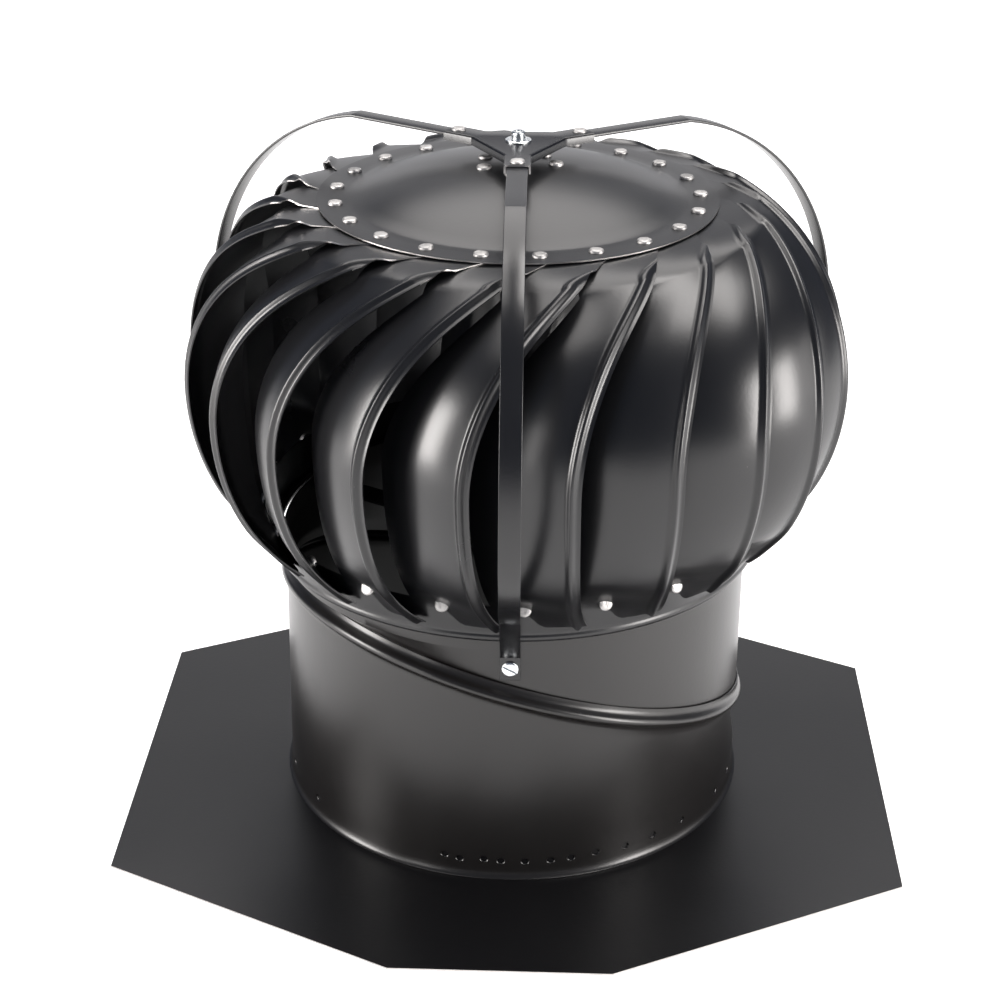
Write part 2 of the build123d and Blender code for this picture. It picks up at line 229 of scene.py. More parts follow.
class Finish:
    def __init__(self, name):
        self.material = bpy.data.materials.new(name)
        self.material.use_nodes = True
        self.tree = self.material.node_tree
        self.shader = self.tree.nodes["Principled BSDF"]
        self.place = self.add("ShaderNodeTexCoord", {}).outputs["Object"]

    def add(self, kind, settings, **values):
        # a value's name is its socket's, with _ for a blank, or i and the socket's number
        node = self.tree.nodes.new(kind)
        for key, value in settings.items():
            setattr(node, key, value)
        for key, value in values.items():
            label = key.replace("_", " ")
            self.feed(node.inputs[label if label in node.inputs else int(key[1:])], value)
        return node

    def feed(self, socket, value):
        if isinstance(value, Signal):
            self.tree.links.new(value.socket, socket)
        elif isinstance(value, bpy.types.NodeSocket):
            self.tree.links.new(value, socket)
        else:
            socket.default_value = value

    def noise(self, scale, detail, roughness=0.5, stretch=(1, 1, 1)):
        place = self.add("ShaderNodeMapping", {}, Vector=self.place, Scale=stretch).outputs[0]
        made = self.add("ShaderNodeTexNoise", {}, Vector=place, Scale=scale, Detail=detail,
                        Roughness=roughness)
        return Signal(self.tree, made.outputs["Fac"])

    def specks(self, scale, size):
        made = self.add("ShaderNodeTexVoronoi", {"feature": "F1"}, Vector=self.place, Scale=scale)
        return Signal(self.tree, made.outputs["Distance"]).below(size)

    def blend(self, share, first, second):
        made = self.add("ShaderNodeMix", {"data_type": "RGBA"}, Factor=share)
        for end, colour in (("first", first), ("second", second)):
            whole = colour if isinstance(colour, bpy.types.NodeSocket) else (*colour, 1)
            self.feed(made.inputs[mixSocket[end]], whole)
        return made.outputs[mixSocket["result"]]

    def bump(self, height, strength, distance):
        made = self.add("ShaderNodeBump", {}, Height=height, Strength=strength, Distance=distance)
        return made.outputs[0]

    def set(self, **values):
        for key, value in values.items():
            self.feed(self.shader.inputs[key.replace("_", " ")], value)


# Semi-gloss black powder coat: slight orange peel, soft smudges, a few dust specks
coatLook = {"dark": (0.0040, 0.0042, 0.0052), "light": (0.0075, 0.0075, 0.0082),
            "rough": 0.31, "roughSwing": 0.10, "smudgeScale": 9,
            "peelScale": 420, "peel": 0.16, "peelDepth": 0.0002,
            "dustScale": 95, "dustSize": 0.035, "dustPatchScale": 31, "dustPatchGate": 0.58,
            "dustTone": (0.16, 0.155, 0.15), "dustCover": 0.35, "dustRough": 0.2, "dustHeight": 0.6}


def powderCoat(name, look):
    finish = Finish(name)
    smudge = finish.noise(look["smudgeScale"], 4.0, 0.55)
    fine = finish.noise(look["peelScale"], 3.0)
    patches = finish.noise(look["dustPatchScale"], 2.0).above(look["dustPatchGate"])
    dust = finish.specks(look["dustScale"], look["dustSize"]) * patches
    tone = finish.blend((smudge * 1.2 - 0.1).clip(), look["dark"], look["light"])
    finish.set(Base_Color=finish.blend(dust * look["dustCover"], tone, look["dustTone"]),
               Roughness=(smudge - 0.5) * look["roughSwing"] + look["rough"] + dust * look["dustRough"],
               Normal=finish.bump(fine + dust * look["dustHeight"], look["peel"], look["peelDepth"]))
    return finish.material


blackCoat = powderCoat("blackPowderCoat", coatLook)
bladeCoat = powderCoat("bladePowderCoat", {**coatLook, "rough": 0.29, "dustScale": 80})
strapCoat = powderCoat("strapPowderCoat", {**coatLook, "rough": 0.25, "peel": 0.12})
neckCoat = powderCoat("neckSatinCoat", {
    **coatLook, "dark": (0.0052, 0.0046, 0.0045), "light": (0.0088, 0.0080, 0.0077),
    "rough": 0.30, "peel": 0.14, "smudgeScale": 7})
flashingCoat = powderCoat("flashingSatinCoat", {
    **coatLook, "dark": (0.0026, 0.0026, 0.0032), "light": (0.0050, 0.0048, 0.0052),
    "peel": 0.2, "smudgeScale": 5})

# Bare metals: a mottled grain, with a second colour where they are worn
metalLook = {"wearScale": 120, "bumpDepth": 0.0004, "roughSwing": 0.2, "stretch": (1, 1, 1)}


def bareMetal(name, look):
    look = {**metalLook, **look}
    finish = Finish(name)
    mottling = finish.noise(look["grainScale"], 4.0, 0.6, look["stretch"])
    wear = finish.noise(look["wearScale"], 3.0, 0.6)
    finish.set(Base_Color=finish.blend((wear * 1.6 - 0.4).clip(), look["colour"], look["worn"]),
               Roughness=(mottling - 0.5) * look["roughSwing"] + look["rough"],
               Normal=finish.bump(mottling, look["grain"], look["bumpDepth"]),
               Metallic=1.0)
    return finish.material


rivetMetal = bareMetal("hammeredAluminium", {
    "colour": (0.48, 0.47, 0.46), "worn": (0.26, 0.255, 0.25),
    "rough": 0.50, "roughSwing": 0.25, "grainScale": 420, "grain": 1.0})
zincMetal = bareMetal("zincPlate", {
    "colour": (0.80, 0.82, 0.83), "worn": (0.62, 0.65, 0.67),
    "rough": 0.24, "grainScale": 700, "grain": 0.35})
cutSteel = bareMetal("cutSteelEdge", {
    "colour": (0.62, 0.60, 0.58), "worn": (0.44, 0.42, 0.41),
    "rough": 0.34, "grainScale": 900, "grain": 0.3, "stretch": (1, 1, 6)})
dullSteel = bareMetal("dullSteel", {
    "colour": (0.32, 0.32, 0.33), "worn": (0.22, 0.22, 0.23),
    "rough": 0.42, "grainScale": 300, "grain": 0.25})
print("materials ready")


# Roof flashing: a flat sheet with four cut corners and the hole under the neck
flashing = {"width": 508.0, "depth": 471.0, "forward": 13.0, "cutWidth": 186.0, "cutDepth": 97.0,
            "sheet": 0.9, "hole": 151.1, "holeSteps": 96, "edgeCuts": 11, "rings": 5}


def makeFlashing():
    clearPick()
    top = flashing["sheet"] * mm
    halfWidth, halfDepth = flashing["width"] / 2, flashing["depth"] / 2
    innerWidth, innerDepth = halfWidth - flashing["cutWidth"], halfDepth - flashing["cutDepth"]
    corners = [(halfWidth, -innerDepth), (halfWidth, innerDepth),
               (innerWidth, halfDepth), (-innerWidth, halfDepth),
               (-halfWidth, innerDepth), (-halfWidth, -innerDepth),
               (-innerWidth, -halfDepth), (innerWidth, -halfDepth)]
    bpy.ops.mesh.primitive_circle_add(vertices=len(corners), radius=1, location=(0, 0, top))
    plate = bpy.context.object
    plate.name = "flashingPlate"
    settle(plate)
    for point, (x, y) in zip(plate.data.vertices, corners):
        point.co = Vector((x * mm, (y - flashing["forward"]) * mm, top))
    bpy.ops.object.mode_set(mode="EDIT")
    bpy.ops.mesh.select_all(action="SELECT")
    bpy.ops.mesh.subdivide(number_cuts=flashing["edgeCuts"])
    bpy.ops.object.mode_set(mode="OBJECT")
    clearPick()
    bpy.ops.mesh.primitive_circle_add(vertices=flashing["holeSteps"], radius=flashing["hole"] * mm,
                                      location=(0, 0, top))
    hole = bpy.context.object
    settle(hole)
    plate = joinPieces([plate, hole])
    bpy.ops.object.mode_set(mode="EDIT")
    bpy.ops.mesh.select_all(action="SELECT")
    bpy.ops.mesh.bridge_edge_loops(number_cuts=flashing["rings"], interpolation="LINEAR", smoothness=0)
    bpy.ops.object.mode_set(mode="OBJECT")
    cleanUp(plate)
    if plate.data.polygons[0].normal.z < 0:
        flipFaces(plate)
    paint(plate, flashingCoat, cutSteel)
    addWall(plate, flashing["sheet"], -1, 1)
    return handOver(plate, "base", "flashing_coat", "roof_flashing")


makeFlashing()
print("flashing ready")

# Neck: two tubes that meet on a slanting seam. A ring is (radius, height), and the bead's and
# the skirt's heights are measured from the slanting plane
neck = {"radius": 153.0, "wall": 0.72, "steps": 320, "bridgeCuts": 14,
        "jointHeight": 107.0, "tilt": 18.4, "azimuth": 35.0,
        "foot": [(155.6, 1.25), (154.6, 1.9), (153.7, 3.2), (153.15, 5.2), (153.0, 7.5),
                 (153.0, 14.0), (153.0, 24.0)],
        "bead": [(155.6, -9.0), (156.1, -6.6), (157.3, -5.3), (159.2, -4.7), (160.6, -3.9),
                 (161.4, -2.6), (161.6, -1.2), (161.2, 0.2), (160.2, 1.3), (158.9, 2.3),
                 (157.9, 3.6), (157.4, 5.2), (157.2, 7.0), (156.5, 7.0), (156.5, 4.0)],
        "head": [(153.0, 182.0), (153.0, 175.0), (153.0, 168.0)],
        "skirt": [(155.75, 7.4), (155.9, 5.0), (155.95, 0.0)]}
slantPlace = (Matrix.Translation((0, 0, neck["jointHeight"] * mm)) @ aroundAxis(neck["azimuth"])
              @ Matrix.Rotation(math.radians(neck["tilt"]), 4, "Y") @ aroundAxis(-neck["azimuth"]))
stake = {"turns": (-163.8, -145.9, -104.6, -100.9, -95.0, -91.0, -85.2, -79.0, -74.0, -67.8,
                   -59.8, -51.6, -41.7, -25.2),
         "backTurns": 18, "backSwing": 0.25, "height": 13.7, "heightSwing": 0.8,
         "halfWidth": 3.0, "halfHeight": 2.5, "depth": 1.2, "segments": 16, "rings": 8}


def makeNeckWall(name, levelRings, slantRings, levelSeam, slantSeam):
    # the level tube and the slanting one are bridged between their two seam rings
    level = turned(name, levelRings, neck["steps"])
    slant = turned(name + "Slant", slantRings, neck["steps"])
    slant.data.transform(slantPlace)
    piece = joinPieces([level, slant])
    untilt = slantPlace.inverted()

    def isSeam(first, second):
        ends = (first, second)
        onLevel = all(abs(end.z - levelSeam * mm) < 0.001 * mm for end in ends)
        onSlant = all(abs((untilt @ end).z - slantSeam * mm) < 0.002 * mm for end in ends)
        return onLevel or onSlant

    pickEdges(piece, isSeam)
    bpy.ops.mesh.bridge_edge_loops(number_cuts=neck["bridgeCuts"], interpolation="LINEAR", smoothness=0)
    bpy.ops.object.mode_set(mode="OBJECT")
    cleanUp(piece)
    paint(piece, neckCoat)
    addWall(piece, neck["wall"], -1)
    return piece


def punchStakes(piece):
    # the neck is staked to the flashing by a ring of uneven punch marks
    turns = list(stake["turns"])
    last, gap = turns[-1], (360 + turns[0] - turns[-1]) / (stake["backTurns"] + 1)
    for number in range(stake["backTurns"]):
        swing = random.uniform(-stake["backSwing"], stake["backSwing"])
        turns.append(last + gap * (number + 1 + swing))
    marks = []
    for azimuth in turns:
        clearPick()
        bpy.ops.mesh.primitive_uv_sphere_add(segments=stake["segments"], ring_count=stake["rings"],
                                             radius=mm)
        mark = bpy.context.object
        height = stake["height"] + random.uniform(-stake["heightSwing"], stake["heightSwing"])
        mark.scale = (stake["depth"], stake["halfWidth"], stake["halfHeight"])
        mark.location = (neck["radius"] * mm, 0, height * mm)
        settle(mark)
        mark.data.transform(aroundAxis(azimuth))
        marks.append(mark)
    cutAway(piece, joinPieces(marks))


lowerNeck = makeNeckWall("lowerNeckWall", neck["foot"], neck["bead"],
                         neck["foot"][-1][1], neck["bead"][0][1])
punchStakes(lowerNeck)
smooth(lowerNeck, 40)
handOver(lowerNeck, "base", "black_coat", "lower_neck")
upperNeck = makeNeckWall("upperNeckWall", neck["head"], neck["skirt"],
                         neck["head"][-1][1], neck["skirt"][0][1])
smooth(upperNeck, 40)
handOver(upperNeck, "upper", "black_coat", "upper_neck")
print("neck ready")

# Rotor ring: a flared band on a rolled bead
ring = {"foot": 157.8, "bottom": 178.0, "bead": 2.6, "height": 27.0, "flare": 7.2, "sheet": 0.8,
        "beadFrom": 150, "beadTo": 400, "beadSteps": 14, "steps": 192,
        "fillet": ((1.9, 2.6), (2.3, 4.5))}


def makeRing():
    beadHeight = ring["bottom"] + ring["bead"]
    rings = arcPoints((ring["foot"], beadHeight), ring["bead"],
                      ring["beadFrom"], ring["beadTo"], ring["beadSteps"])
    rings += [(ring["foot"] + out, beadHeight + up) for out, up in ring["fillet"]]
    rings.append((ring["foot"] + ring["flare"], ring["bottom"] + ring["height"]))
    piece = turned("rotorRingBand", rings, ring["steps"])
    paint(piece, blackCoat)
    addWall(piece, ring["sheet"], 1)
    smooth(piece, 40)
    return handOver(piece, "rotor", "black_coat", "rotor_ring")


makeRing()
print("ring ready")

# Rotor cap: a level rim that is creased up into a shallow dome
cap = {"rim": 125.2, "crease": 104.0, "height": 406.7, "rise": 21.5, "sheet": 0.8, "hole": 5.2,
       "domeSteps": 24, "steps": 192,
       "rimDroop": ((0.0, -0.25), (-3.0, -0.05)),
       "creaseBend": ((9.0, 0.0), (3.0, 0.1), (1.0, 0.35), (-1.2, 1.0))}
domeRadius = (cap["crease"] ** 2 + cap["rise"] ** 2) / (2 * cap["rise"])
domeCentre = cap["height"] + cap["rise"] - domeRadius


def domeTop(radius):
    return domeCentre + math.sqrt(domeRadius ** 2 - radius ** 2)


def makeCap():
    rings = [(cap["rim"] + out, cap["height"] + up) for out, up in cap["rimDroop"]]
    rings += [(cap["crease"] + out, cap["height"] + up) for out, up in cap["creaseBend"]]
    start = rings[-1][0]
    for number in range(1, cap["domeSteps"] + 1):
        radius = start + (cap["hole"] - start) * number / cap["domeSteps"]
        rings.append((radius, domeTop(radius)))
    piece = turned("capDome", rings, cap["steps"])
    paint(piece, blackCoat, cutSteel)
    addWall(piece, cap["sheet"], -1, 1)
    smooth(piece, 40)
    return handOver(piece, "rotor", "black_coat", "rotor_cap")


makeCap()
print("cap ready")

# Blades: a pressed sheet with a rib near its free edge. Latitude is counted from the belly,
# share goes from the free edge to the far one, and travel from the free corner to the tongue
blade = {"count": 21, "sheet": 0.8, "bellyRadius": 211.6, "bellyHeight": 295.0,
         "crownRadius": 108.4, "crownRise": 118.0, "skirtDrop": 127.0, "footHeight": 188.5,
         "cornerRadius": 154.7, "bellyAzimuth": -112.7,
         "topTwist": (16.0, 15.2), "bottomTwist": (3.7, 8.1),
         "lap": 2.4, "lapGap": 0.5, "bellyTuck": 35.0, "cornerTuck": 8.0, "crown": 5.0,
         "footFlat": 0.6, "openFrom": 4, "openOver": 22, "seatGap": 0.3,
         "seat": 405.6, "tongue": 108.0, "rimAngle": 10.3,
         "bendRadius": 145.8, "bendFade": 1.1, "endSlope": 2.0, "hookReach": 7.0,
         "ribInset": 1.8, "ribWidth": 7.2, "ribHeight": 2.5, "ribFade": 0.28, "ribFadeLag": 1.4,
         "rows": 44, "crownRows": 20, "sheetColumns": 12,
         "edgeColumns": (0, 0.5, 1.1, 1.8, 2.6, 3.4, 4.2, 5.0, 5.8, 6.6, 7.4, 8.2, 9.0,
                         10.0, 12.0, 15.0, 19.0),
         "rawReach": 0.6, "rawAbove": 390, "rawFoot": 1.0}
step = 360 / blade["count"]
envelope = blade["bellyRadius"] - blade["crownRadius"]
ringTop = ring["bottom"] + ring["height"]


def skirtLatitude(height):
    return math.degrees(math.asin((height - blade["bellyHeight"]) / blade["skirtDrop"]))


footLatitude = skirtLatitude(blade["footHeight"])
ringLatitude = skirtLatitude(ringTop)
cornerLatitude = math.degrees(math.acos((blade["cornerRadius"] - blade["crownRadius"]) / envelope))


def ease(share):
    share = min(1, max(0, share))
    return share * share * (3 - 2 * share)


def edgeLine(latitude):
    # radius, height and azimuth of the free edge
    rise = blade["crownRise"] if latitude > 0 else blade["skirtDrop"]
    twist = blade["topTwist"] if latitude > 0 else blade["bottomTwist"]
    sine = math.sin(math.radians(latitude))
    radius = blade["crownRadius"] + envelope * math.cos(math.radians(latitude))
    azimuth = blade["bellyAzimuth"] + twist[0] * sine ** 2 + twist[1] * sine ** 6
    return radius, blade["bellyHeight"] + rise * sine, azimuth


def edgeSlope(latitude):
    # how far the free edge moves sideways for each millimetre that it climbs
    low, high = edgeLine(latitude - 0.1), edgeLine(latitude + 0.1)
    climb = math.hypot(high[0] - low[0], high[1] - low[1])
    return math.radians(high[2] - low[2]) * low[0] / climb


def ringSkin(height):
    # radius at which a blade lies on the ring
    climb = (height - ring["bottom"] - ring["bead"]) / (ring["height"] - ring["bead"])
    return ring["foot"] + ring["flare"] * climb + blade["seatGap"] + blade["sheet"]


def tuckAt(latitude):
    # how far the blade's far edge lies inside its free edge
    radius, height, _ = edgeLine(latitude)
    if latitude > 0:
        share = math.cos(math.pi / 2 * min(1, latitude / cornerLatitude))
        return blade["cornerTuck"] + (blade["bellyTuck"] - blade["cornerTuck"]) * share
    if height <= ringTop:
        return radius - ringSkin(height)
    ringTuck = edgeLine(ringLatitude)[0] - ringSkin(ringTop)
    share = math.cos(math.pi / 2 * latitude / ringLatitude)
    return ringTuck + (blade["bellyTuck"] - ringTuck) * share


def lapAt(latitude):
    return step - blade["lapGap"] + blade["lap"] * math.cos(math.radians(latitude)) ** 2


def crownedDrop(tuck, share):
    return tuck * (share - 4 * share * (1 - share) * blade["crown"] / blade["bellyTuck"])


def skinPoint(radius, height, azimuth, drop, latitude):
    lean = math.radians(max(latitude, 0))
    point = outwards(azimuth) * (radius - drop * math.cos(lean))
    return point + Vector((0, 0, height - drop * math.sin(lean)))


def sheetPoint(latitude, distance, share):
    radius, height, azimuth = edgeLine(latitude)
    tuck, lap = tuckAt(latitude), lapAt(latitude)
    near = math.degrees(distance * math.hypot(1, edgeSlope(latitude)) / radius)
    turn = near + (lap - near) * share
    share = turn / lap
    flat = tuck * min(1, share / blade["footFlat"])
    aboveRing = ease((height - ringTop + blade["openFrom"]) / blade["openOver"])
    drop = flat + (crownedDrop(tuck, share) - flat) * aboveRing
    return skinPoint(radius, height, azimuth - turn, drop, latitude)


def crownPoint(travel, distance, share):
    # past the free corner the sheet bends level and slides under the cap
    radius, height, azimuth = edgeLine(cornerLatitude)
    left = 1 - travel
    out = left ** 2 * radius + 2 * travel * left * blade["bendRadius"] + travel ** 2 * blade["tongue"]
    up = height + (blade["seat"] - height) * (1 - left ** 2)
    along = math.hypot(radius - out, up - height)
    startSlope, endSlope = edgeSlope(cornerLatitude), blade["endSlope"]
    hook = 1 - math.exp(-along / blade["hookReach"])
    shift = math.degrees((endSlope * along - (endSlope - startSlope) * blade["hookReach"] * hook) / out)
    slope = startSlope + (endSlope - startSlope) * hook
    near = math.degrees(distance * math.hypot(1, slope) / out)
    reach = lapAt(cornerLatitude) + shift
    turn = near + (reach - near) * share
    drop = crownedDrop(blade["cornerTuck"], turn / reach) * max(0, left) ** blade["bendFade"]
    return skinPoint(out, up, azimuth + shift - turn, drop, cornerLatitude)


def bladePoint(row, distance, share):
    if row <= blade["rows"]:
        latitude = footLatitude + (cornerLatitude - footLatitude) * row / blade["rows"]
        return sheetPoint(latitude, distance, share)
    return crownPoint((row - blade["rows"]) / blade["crownRows"], distance, share)


def ribLift(row, distance, share):
    if share > 0:
        return 0
    middle = blade["ribInset"] + blade["ribWidth"] / 2
    away = abs(distance - middle) / (blade["ribWidth"] / 2)
    lift = blade["ribHeight"] * (0.5 + 0.5 * math.cos(math.pi * min(1, away)))
    travel = (row - blade["rows"]) / blade["crownRows"]
    return lift * (1 - ease(travel / blade["ribFade"] - blade["ribFadeLag"]))


def makeBlade():
    clearPick()
    edgeColumns, sheetColumns = blade["edgeColumns"], blade["sheetColumns"]
    places = [(distance, 0) for distance in edgeColumns]
    places += [(edgeColumns[-1], column / sheetColumns) for column in range(1, sheetColumns + 1)]
    columns, rows = len(places) - 1, blade["rows"] + blade["crownRows"]
    bpy.ops.mesh.primitive_grid_add(x_subdivisions=columns, y_subdivisions=rows, size=1)
    piece = bpy.context.object
    piece.name = "bladeSkin01"
    settle(piece)
    sheet = [[bladePoint(row, *place) for place in places] for row in range(rows + 1)]
    for point in piece.data.vertices:
        column = round((point.co.x + 0.5) * columns)
        row = round((point.co.y + 0.5) * rows)
        along = sheet[min(row + 1, rows)][column] - sheet[max(row - 1, 0)][column]
        sideways = sheet[row][min(column + 1, columns)] - sheet[row][max(column - 1, 0)]
        outside = along.cross(sideways).normalized()
        point.co = (sheet[row][column] + outside * ribLift(row, *places[column])) * mm
    # the end cut runs from the free corner to the cap rim
    radius, _, azimuth = edgeLine(cornerLatitude)
    corner = outwards(azimuth) * radius * mm
    rimPoint = outwards(azimuth + blade["rimAngle"]) * cap["rim"] * mm
    side = (rimPoint - corner).cross(Vector((0, 0, 1))).normalized()
    bpy.ops.object.mode_set(mode="EDIT")
    bpy.ops.mesh.select_all(action="SELECT")
    bpy.ops.mesh.bisect(plane_co=corner, plane_no=side, clear_outer=True, clear_inner=False)
    bpy.ops.object.mode_set(mode="OBJECT")
    cleanUp(piece, 0.002 * mm)
    middle = piece.data.polygons[len(piece.data.polygons) // 2]
    if middle.normal.dot(Vector((middle.center.x, middle.center.y, 0))) < 0:
        flipFaces(piece)
    paint(piece, bladeCoat, cutSteel)
    addWall(piece, blade["sheet"], -1, 1)
    # only the end cut and the foot show a raw edge
    for face in piece.data.polygons:
        if face.material_index == 1:
            onCut = (abs((face.center - corner).dot(side)) < blade["rawReach"] * mm
                     and face.center.z > blade["rawAbove"] * mm)
            onFoot = face.center.z < (blade["footHeight"] + blade["rawFoot"]) * mm
            face.material_index = 1 if onCut or onFoot else 0
    smooth(piece, 45)
    return piece


firstBlade = makeBlade()
skins = [firstBlade]
for number in range(1, blade["count"]):
    skins.append(setCopy(firstBlade, f"bladeSkin{number + 1:02d}", aroundAxis(number * step)))
for number, skin in enumerate(skins):
    handOver(skin, "rotor", "black_coat", f"blade_{number + 1:02d}")
print("blades ready")

# Rivets: hammered heads round the cap, round the ring and on the hub
rivet = {"radius": 4.6, "height": 1.9, "foot": 0.25, "steps": 28,
         "sideJitter": 0.16, "topJitter": 0.09,
         "capPlace": 114.2, "capPhase": 3.7, "capLean": 4,
         "ringHeight": 203.0, "ringPhase": -120.7, "ringLean": 74, "ringStretch": 1.25,
         "hubPlace": 23.5, "hubTurns": (-152, -2, 47, 98, 152, -98),
         "head": ((0.98, 0.5), (0.88, 0.84), (0.68, 0.97), (0.42, 1), (0.2, 0.97), (0.001, 0.95))}


def makeRivet(name, radius, height):
    rings = [(radius, -rivet["foot"]), (radius, rivet["foot"])]
    rings += [(radius * out, height * up) for out, up in rivet["head"]]
    piece = turned(name, rings, rivet["steps"])
    for point in piece.data.vertices:
        # hammered by hand, so neither round nor even
        side = Vector((point.co.x, point.co.y, 0))
        if point.co.z > 0 and side.length > 0:
            jitter = random.uniform(-rivet["sideJitter"], rivet["sideJitter"])
            point.co += side.normalized() * jitter * mm
            point.co.z += random.uniform(-rivet["topJitter"], rivet["topJitter"]) * mm
    paint(piece, rivetMetal)
    smooth(piece, 50)
    return piece


def atPlace(azimuth, out, height):
    return aroundAxis(azimuth) @ Matrix.Translation((out * mm, 0, height * mm))


def placeRivets():
    pattern = makeRivet("rivetPattern", rivet["radius"], rivet["height"])
    for number in range(blade["count"]):
        spot = atPlace(rivet["capPhase"] + number * step, rivet["capPlace"], cap["height"])
        lean = math.radians(random.uniform(-rivet["capLean"], rivet["capLean"]))
        spot = spot @ Matrix.Rotation(lean, 4, "X") @ Matrix.Rotation(random.uniform(0, 6), 4, "Z")
        handOver(setCopy(pattern, f"capRivet{number + 1:02d}", spot), "rotor", "rivet_aluminium")
        spot = atPlace(rivet["ringPhase"] + number * step, ringSkin(rivet["ringHeight"]),
                       rivet["ringHeight"])
        spot = spot @ Matrix.Rotation(math.radians(rivet["ringLean"]), 4, "Y")
        spot = spot @ Matrix.Scale(rivet["ringStretch"], 4, (0, 0, 1))
        handOver(setCopy(pattern, f"ringRivet{number + 1:02d}", spot), "rotor", "rivet_aluminium")
    for number, azimuth in enumerate(rivet["hubTurns"]):
        slope = math.asin(rivet["hubPlace"] / domeRadius)
        spot = atPlace(azimuth, rivet["hubPlace"], domeTop(rivet["hubPlace"]))
        spot = spot @ Matrix.Rotation(slope, 4, "Y")
        handOver(setCopy(pattern, f"hubRivet{number + 1}", spot), "rotor", "rivet_aluminium")
    bpy.data.objects.remove(pattern)


placeRivets()
print("rivets ready")

# Straps: three flat bars bent round the outside of the rotor. A point is (reach, height)
strap = {"width": 12.6, "thickness": 1.8, "inner": 34.0, "height": 439.0, "levelTo": 122.5,
         "dip": -11.0, "dipRadius": 4.0, "shoulder": (204.5, 393.4), "belly": (243.4, 295.0),
         "kneeHeight": 209.0, "kneeClearance": 8.0, "kneeRadius": 5,
         "heel": (154.7, 163.5), "heelRun": (1.0, 2.0), "heelRadius": 2.0, "footBottom": 148.4,
         "arcCuts": 16, "edge": 0.4}
braceTurns = {"Front": -89.2, "Right": 31.0, "Left": 149.6}


def makeStrap(name, azimuth, node):
    clearPick()
    bpy.ops.mesh.primitive_plane_add(size=1, rotation=(0, math.radians(90), 0),
                                     location=(strap["inner"] * mm, 0, strap["height"] * mm))
    piece = bpy.context.object
    piece.name = name
    piece.scale = (strap["thickness"] * mm, strap["width"] * mm, 1)
    settle(piece)
    bpy.ops.object.mode_set(mode="EDIT")
    bpy.ops.mesh.select_all(action="SELECT")
    here = Vector((strap["inner"], strap["height"]))
    heading = Vector((1, 0))

    def swing(centre, sweep, cuts):
        bpy.ops.mesh.spin(steps=cuts, angle=sweep, axis=(0, 1, 0),
                          center=(centre.x * mm, 0, centre.y * mm))

    def sweepTo(direction):
        return math.atan2(heading.x * direction.y - heading.y * direction.x, heading.dot(direction))

    def straightTo(target, cuts):
        nonlocal here
        move = (Vector(target) - here) / cuts * mm
        for _ in range(cuts):
            bpy.ops.mesh.extrude_region_move(TRANSFORM_OT_translate={"value": (move.x, 0, move.y)})
        here = Vector(target)

    def arcTo(target):
        # an arc that leaves along the heading and ends on the target
        nonlocal here, heading
        chord = Vector(target) - here
        left = Vector((-heading.y, heading.x))
        centre = here + left * chord.length_squared / (2 * chord.dot(left))
        sweep = 2 * sweepTo(chord)
        swing(centre, sweep, strap["arcCuts"])
        heading = Matrix.Rotation(sweep, 2) @ heading
        here = Vector(target)

    def bendTo(direction, radius, cuts):
        # a bend of the given radius, until the strap runs in the direction
        nonlocal here, heading
        direction = Vector(direction).normalized()
        sweep = sweepTo(direction)
        side = 1 if sweep > 0 else -1
        centre = here + Vector((-heading.y, heading.x)) * radius * side
        swing(centre, sweep, cuts)
        here = centre + Matrix.Rotation(sweep, 2) @ (here - centre)
        heading = direction

    straightTo((strap["levelTo"], strap["height"]), 4)
    dip = math.radians(strap["dip"])
    bendTo((math.cos(dip), math.sin(dip)), strap["dipRadius"], 4)
    arcTo(strap["shoulder"])
    arcTo(strap["belly"])
    kneeReach = edgeLine(skirtLatitude(strap["kneeHeight"]))[0] + strap["kneeClearance"]
    arcTo((kneeReach, strap["kneeHeight"]))
    bendTo(Vector(strap["heel"]) - here, strap["kneeRadius"], 5)
    straightTo(Vector(strap["heel"]) + Vector(strap["heelRun"]), 2)
    bendTo((0, -1), strap["heelRadius"], 5)
    straightTo((strap["heel"][0], strap["footBottom"]), 2)
    bpy.ops.object.mode_set(mode="OBJECT")
    cleanUp(piece)
    addBevel(piece, strap["edge"], 3, 35)
    paint(piece, strapCoat)
    smooth(piece, 40)
    piece.rotation_euler.z = math.radians(azimuth)
    settle(piece)
    return handOver(piece, "upper", "black_coat", node)


for place, azimuth in braceTurns.items():
    makeStrap(f"strap{place}", azimuth, f"brace_{place.lower()}")
print("straps ready")

# Top spider: a three-armed plate with folded sides, a rivet in each arm and the shaft's washer
spider = {"radius": 50.0, "halfArm": 8.1, "webEnd": 29.0, "under": 440.2, "sheet": 1.2,
          "lip": 4.4, "fold": 1.6, "rivetPlace": 44.0, "rivetRadius": 4.5, "rivetHeight": 1.6}
spiderTop = spider["under"] + spider["sheet"]
washer = {"steps": 64,
          "rings": [(4.4, 0.05), (8.0, 0.05), (8.0, 0.9), (7.6, 1.2), (4.8, 1.2), (4.4, 1.0), (4.4, 0.05)]}
shaft = {"steps": 48,
         "rings": [(0.01, 158.0), (4.2, 158.0), (4.2, 444.9), (3.7, 445.2), (3.7, 445.7), (4.2, 446.0),
                   (4.2, 447.1), (3.6, 447.8), (2.3, 447.8), (1.9, 447.0), (0.01, 446.6)]}


